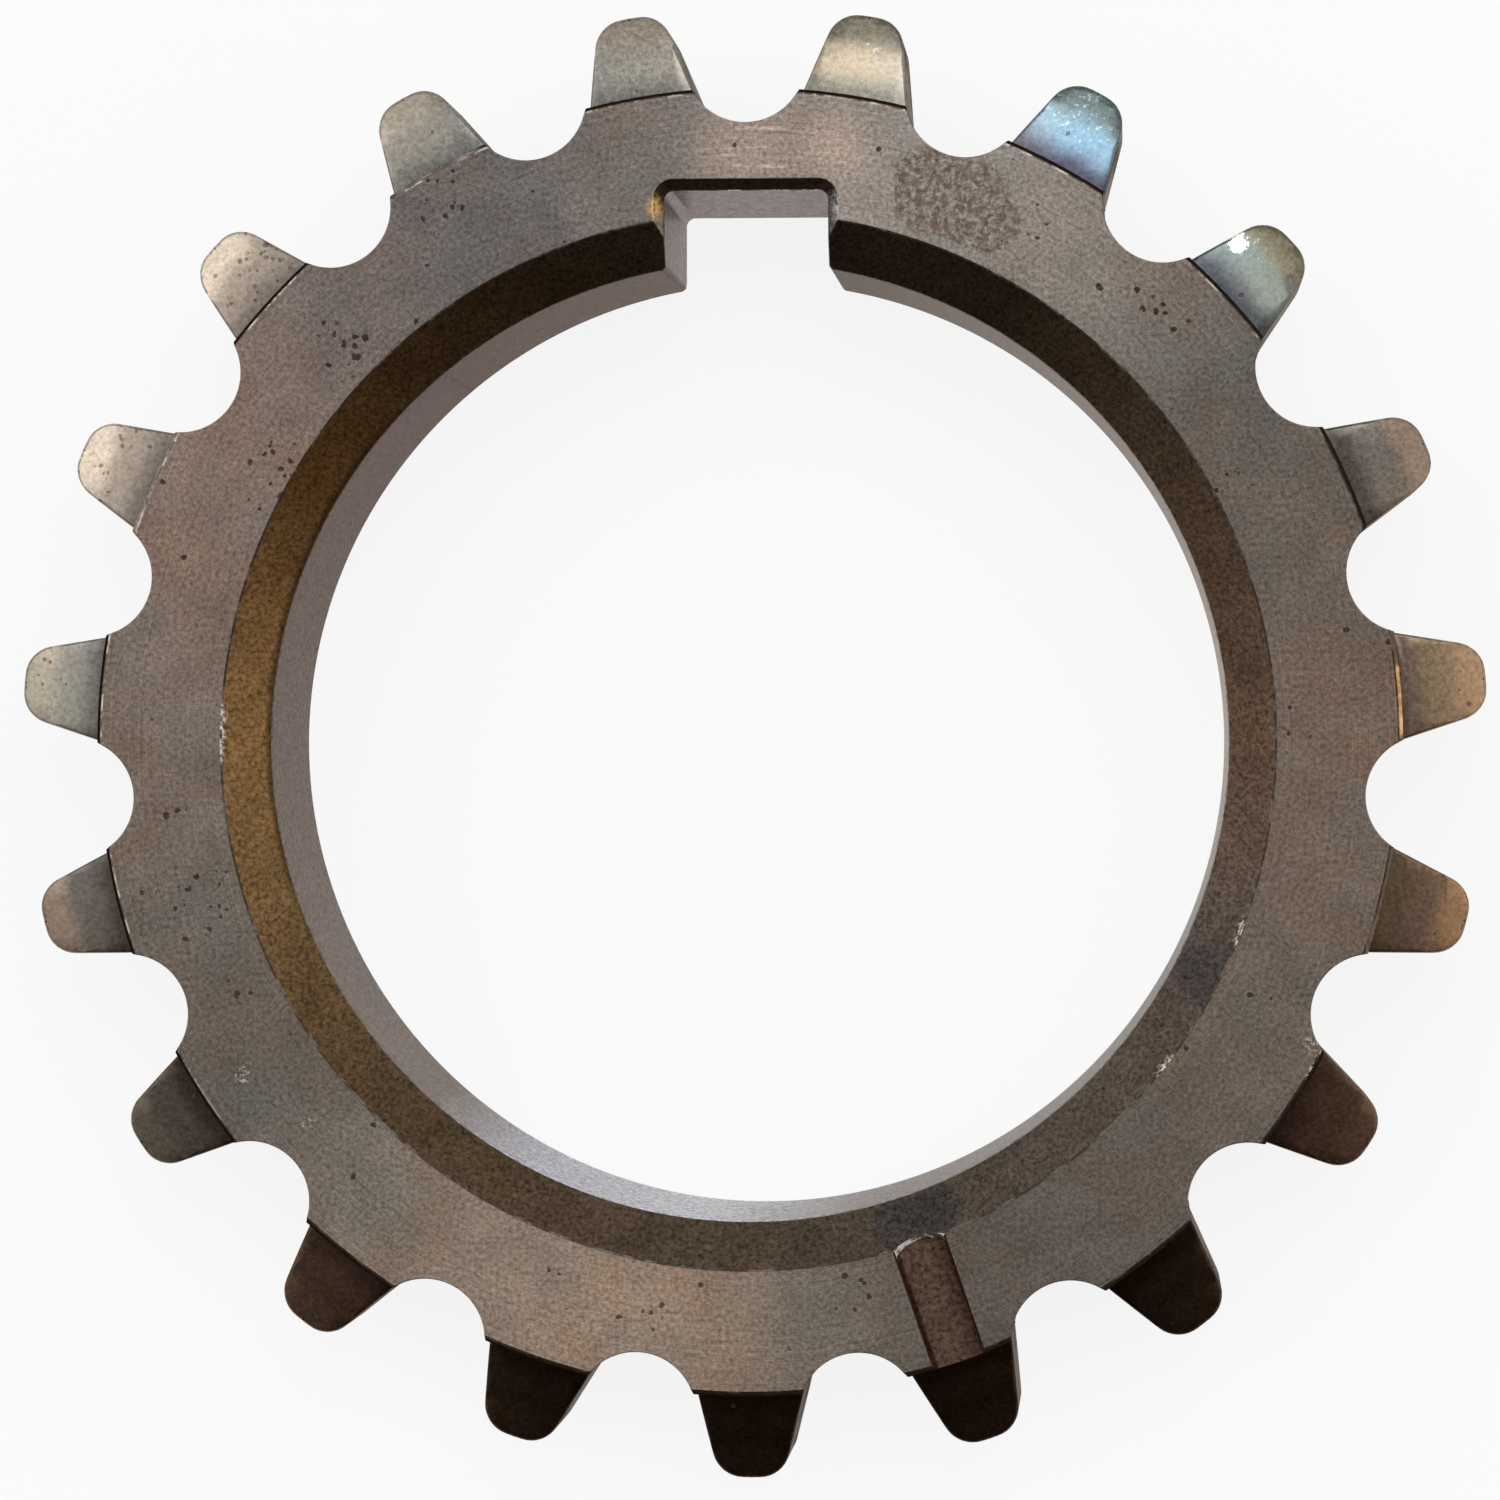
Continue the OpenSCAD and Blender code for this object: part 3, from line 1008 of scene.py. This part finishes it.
# Shoulders of the hub: the wall has the flanks' tones under oil and a little painted shade, and the broken
# edge above it is painted dark as a shadow along the step, with painted highlights in two places
shoulderScale = {
    "roughness": 0.4,
    "edge": (0.3, 0.3, 0.3),
    "bump": (0.2, 0.04),
    # The dark colour is a painted shadow along the step, and is also laid on as oil
    "dark": (46, 36, 30),
    "wallDark": 0.25,
    "breakFade": 0.08,
    # Painted highlights on the broken edge above two upper left teeth
    "worn": (150, 142, 134),
    "wornPlaces": [(-25.5, 11.3, 3.2), (-13.3, 24.5, 2.6)],
    "wornWhole": 0.6,
    "clean": (112, 96, 82),
    "cleanPlaces": [(27.7, 2.3, 4.0), (27.0, -6.9, 4.0)],
    "cleanWhole": 0.6,
    "gold": (236, 186, 128),
    "goldPlaces": [(27.8, 2.5, 0.8), (27.8, 1.6, 0.9), (27.8, 0.8, 0.8)],
    "goldWhole": 0.6,
    "oilScale": 0.6,
    "oilRange": (0.46, 0.64),
    "oilShare": 0.5,
    "grainScale": 4.0,
    "grainShades": (0.65, 1.35),
}


def shoulderShadowAndOilFinish():
    look = shoulderScale
    material, tree, shader, at = newFinish("shoulderScale", look)
    # The broken edge is painted dark as a shadow along the step, with painted highlights in two places; the
    # wall takes a little of the same painted shade
    broken = seen(*look["dark"])
    for place in ("worn", "clean", "gold"):
        broken = coat(tree, inPlaces(tree, at["front"], look, place), broken, look[place])
    wall = coat(tree, look["wallDark"], ringTone(tree, at["turn"], flankSteel["tone"]), look["dark"])
    breakFoot = hubWidth - sprocket["hubBreak"]
    color = layer(tree, fade(tree, at["height"], breakFoot - look["breakFade"], breakFoot), wall, broken)
    oil = blotches(tree, "oil", at["spot"], look, "oil")
    color = coat(tree, times(tree, oil, look["oilShare"]), color, look["dark"])
    color, grain = grained(tree, color, at["spot"], look, "crust")
    paint(tree, shader, look, color, grain)
    return material


# Timing mark: brown floor with painted shade along its walls and a painted shadow over its right half, and a
# bright ramp at its inner end, worn bare and with a painted highlight
markGroove = {
    "roughness": 0.42,
    "edge": (0.4, 0.4, 0.4),
    "bump": (0.25, 0.05),
    "floor": (98, 78, 66),
    "shadeSide": (72, 55, 45),
    # Painted shade along the walls
    "wall": (68, 45, 37),
    "leftWall": (0.2, 0.1),           # inwards from the left side
    "rightWall": (-0.25, -0.04),      # outwards from the right side
    "grainScale": 4.5,
    "grainShades": (0.3, 1.75),
    "ramp": (150, 134, 122),
    "rampScale": 1.6,
    "rampWaver": 0.5,
    "rampRange": (-0.12, 0.06),       # outwards from the round end
    "rampStart": (-0.8, -1.2),        # outwards from the middle of the round end
    "rampFoot": 0.1,                  # upwards from the floor
    "bare": (235, 226, 216),
    "bareScale": 2.2,
    "bareRange": (0.44, 0.56),
}


def markGrooveFinish():
    look = markGroove
    material, tree, shader, at = newFinish("markGroove", look)
    half, end, floor = sprocket["markWidth"] / 2, sprocket["markEnd"], sprocket["markDepth"]
    across = measured(tree, "DOT_PRODUCT", at["flat"], polar(1, markAngle + math.pi / 2))
    # Painted shadow over the right half of the floor, and painted shade along both walls
    color = coat(tree, fade(tree, across, 0, half), seen(*look["floor"]), look["shadeSide"])
    leftWall = fade(tree, across, *[-half + away for away in look["leftWall"]])
    rightWall = fade(tree, across, *[half + away for away in look["rightWall"]])
    color = coat(tree, calc(tree, "MAXIMUM", leftWall, rightWall), color, look["wall"])
    color, grain = grained(tree, color, at["spot"], look)
    # The ramp lies past the round end of the floor, and stands above it
    endCentre = polar(hubRadius - sprocket["markLength"] + end, markAngle)
    waver = noise(tree, "ragged", at["spot"], look["rampScale"])
    away = measured(tree, "DISTANCE", at["flat"], endCentre)
    away = calc(tree, "MULTIPLY_ADD", waver, look["rampWaver"], away)
    ramp = fade(tree, away, *[end + past for past in look["rampRange"]])
    lengthways = measured(tree, "DOT_PRODUCT", at["flat"], polar(1, markAngle))
    start = fade(tree, lengthways, *[endCentre.length + past for past in look["rampStart"]])
    depth = calc(tree, "SUBTRACT", hubWidth, at["height"])
    ramp = times(tree, ramp, start)
    ramp = times(tree, ramp, fade(tree, depth, floor, floor - look["rampFoot"]))
    # The ramp's light tone and its bare spots: worn metal with a painted highlight
    color = coat(tree, ramp, color, look["ramp"])
    bare = times(tree, ramp, blotches(tree, "grain", at["spot"], look, "bare"))
    color = coat(tree, bare, color, look["bare"])
    # Bare metal with a painted highlight is less of a mirror here, and so bright from every side
    tree.links.new(calc(tree, "SUBTRACT", 1.0, bare), shader.inputs["Metallic"])
    paint(tree, shader, look, color, grain)
    return material


finishes = {
    "turnedFace": turnedFaceFinish(),
    "wornEdge": wornEdgeHighlightFinish(),
    "leadVarnish": leadVarnishAndShadeFinish(),
    "boreSteel": boreSteelFinish(),
    "keyChamfer": keyChamferFinish(),
    "toothTint": toothTintAndShadeFinish(),
    "flankSteel": flankSteelFinish(),
    "shoulderScale": shoulderShadowAndOilFinish(),
    "markGroove": markGrooveFinish(),
}

# Limits for sorting the faces: distances in millimetres, and how far a normal looks up
sorting = {
    "touch": 0.01,
    "near": 0.02,
    "edge": 0.06,
    "pastChamfer": 0.4,       # how far the keyway's faces may lie past its chamfer
    "pastBore": 0.5,          # the chamfer's faces lie further out than this
    "roundedUp": (0.8, 0.995),
    "leadUp": 0.8,
    "chamferUp": 0.4,
    "keywayUp": 0.85,
    "sideUp": 0.5,
    "shoulderUp": 0.9,
}


def inMark(middle):
    touch, near = sorting["touch"], sorting["near"]
    lengthways = polar(1, markAngle).dot(middle)
    sideways = polar(1, markAngle + math.pi / 2).dot(middle)
    if abs(sideways) >= sprocket["markWidth"] / 2 + touch or middle.xy.length >= hubRadius + touch:
        return False
    if lengthways <= hubRadius - sprocket["markLength"] - near:
        return False
    return near < hubWidth - middle.z < sprocket["markDepth"] + touch


def onWornEdge(middle, normal):
    edge = sorting["edge"]
    lowest, highest = sorting["roundedUp"]
    fromLead = abs(middle.xy.length - leadRadius)
    fromShoulder = abs(middle.xy.length - hubRadius + sprocket["hubBreak"])
    if middle.z > hubWidth - edge and lowest < normal.z < highest and min(fromLead, fromShoulder) < edge:
        return True
    return abs(middle.y - keyFloor) < edge and abs(middle.z - hubWidth + sprocket["keyLead"]) < edge


# Sorts the faces of the sprocket by place and direction
def finishOf(middle, normal):
    near = sorting["near"]
    radius = middle.xy.length
    up = abs(normal.z)
    if inMark(middle):
        return "markGroove"
    if onWornEdge(middle, normal):
        return "wornEdge"
    onLead = radius < leadRadius + near and leadFoot - near < middle.z < hubWidth - near
    if onLead and normal.z > sorting["leadUp"]:
        return "leadVarnish"
    if radius < keyFloor + sprocket["keyLead"] + sorting["pastChamfer"] and up < sorting["keywayUp"]:
        onChamfer = normal.z > sorting["chamferUp"] and radius > boreRadius + sorting["pastBore"]
        return "keyChamfer" if onChamfer else "boreSteel"
    if radius > hubRadius + sorting["edge"]:
        return "toothTint" if up > sorting["sideUp"] else "flankSteel"
    if up < sorting["shoulderUp"]:
        return "shoulderScale" if radius > hubRadius - sprocket["hubBreak"] - near else "flankSteel"
    return "turnedFace"


def dressSprocket(piece):
    names = list(finishes)
    piece.data.materials.clear()
    for name in names:
        piece.data.materials.append(finishes[name])
    for face in piece.data.polygons:
        face.material_index = names.index(finishOf(face.center, face.normal))
    makeActive(piece)
    bpy.ops.object.mode_set(mode="EDIT")
    turnOutwards()
    bpy.ops.transform.resize(value=(mm, mm, mm), center_override=(0, 0, 0))
    bpy.ops.object.mode_set(mode="OBJECT")
    bpy.ops.object.shade_smooth_by_angle(angle=math.radians(sprocket["smoothAngle"]))
    applyModifier(piece, "WEIGHTED_NORMAL", {"keep_sharp": True, "weight": sprocket["normalWeight"]})


dressSprocket(wornSprocket)
print("sprocket finished:", len(wornSprocket.data.polygons), "faces,", len(finishes), "finishes")

# Studio: sizes in metres, angles in degrees, from +X round the bore axis and up from the floor
studio = {
    "floorSize": 6.0,
    "floorColor": (0.92, 0.92, 0.92, 1),
    "floorGlow": 0.87,
    "ambient": 0.7,
    "sideGlow": {"round": 2, "height": 42, "inner": 5, "outer": 36, "strength": 0.5},
    "leftGlow": {"round": 156, "height": 52, "inner": 4, "outer": 28, "strength": 1.1},
    "shade": {"round": 275, "height": 44, "inner": 10, "outer": 56, "strength": -0.6},
    "keySize": 0.26,
    "keyPower": 0.5,
    "keyRound": 72,
    "keyHeight": 66,
    "keyDistance": 0.6,
}


def pointAt(around, height):
    return polar(math.cos(math.radians(height)), math.radians(around), math.sin(math.radians(height)))


# The floor looks almost white, also in reflections, and lights the part as a matte floor does
def makeFloor():
    dropSelection()
    bpy.ops.mesh.primitive_plane_add(size=studio["floorSize"], location=(0, 0, 0))
    floor = bpy.context.object
    floor.name = "paleFloor"
    material = bpy.data.materials.new("paleFloor")
    material.use_nodes = True
    tree = material.node_tree
    tree.nodes.clear()
    path = put(tree, "LightPath", {})
    straight = calc(tree, "MAXIMUM", path.outputs["Is Camera Ray"], path.outputs["Is Glossy Ray"])
    straight = calc(tree, "MAXIMUM", straight, path.outputs["Is Transmission Ray"])
    matte = put(tree, "BsdfDiffuse", {"Color": studio["floorColor"]}).outputs[0]
    glow = put(tree, "Emission", {"Color": (1, 1, 1, 1), "Strength": 1.0}).outputs[0]
    share = times(tree, straight, studio["floorGlow"])
    mixed = put(tree, "MixShader", {0: share, 1: matte, 2: glow}).outputs[0]
    put(tree, "OutputMaterial", {"Surface": mixed})
    floor.data.materials.append(material)


# World: even soft light, brighter at the right and the upper left, and darker towards -Y
def makeWorld():
    world = bpy.data.worlds.new("studio")
    scene.world = world
    world.use_nodes = True
    tree = world.node_tree
    direction = put(tree, "TexCoord", {}).outputs["Generated"]
    level = studio["ambient"]
    for name in ("sideGlow", "leftGlow", "shade"):
        lobe = studio[name]
        aim = measured(tree, "DOT_PRODUCT", direction, pointAt(lobe["round"], lobe["height"]))
        outer, inner = math.cos(math.radians(lobe["outer"])), math.cos(math.radians(lobe["inner"]))
        level = calc(tree, "MULTIPLY_ADD", fade(tree, aim, outer, inner), lobe["strength"], level)
    background = tree.nodes["Background"]
    background.inputs["Color"].default_value = (1, 1, 1, 1)
    tree.links.new(level, background.inputs["Strength"])


def makeKey():
    dropSelection()
    place = pointAt(studio["keyRound"], studio["keyHeight"]) * studio["keyDistance"]
    bpy.ops.object.light_add(type="AREA", location=place)
    key = bpy.context.object
    key.name = "softKey"
    key.data.shape = "DISK"
    key.data.size = studio["keySize"]
    key.data.energy = studio["keyPower"]
    key.rotation_euler = place.to_track_quat("Z", "Y").to_euler()


# Camera: looks almost straight down, from a little to the right of the bore axis
camera = {
    "place": (16.45 * mm, -0.95 * mm, 197.43 * mm),
    "tilt": (0.492, 2.244, -0.105),
    "sensor": 36.0,
    "lens": 106.04,
    "shift": (-0.14, -0.0168),      # the picture is cut out of a wider one
    "clipStart": 0.01,
}


def makeCamera():
    dropSelection()
    tilt = [math.radians(angle) for angle in camera["tilt"]]
    bpy.ops.object.camera_add(location=camera["place"], rotation=tilt)
    eye = bpy.context.object
    eye.data.sensor_width = camera["sensor"]
    eye.data.lens = camera["lens"]
    eye.data.shift_x, eye.data.shift_y = camera["shift"]
    eye.data.clip_start = camera["clipStart"]
    scene.camera = eye


makeFloor()
makeWorld()
makeKey()
makeCamera()
print("floor, light and camera set")
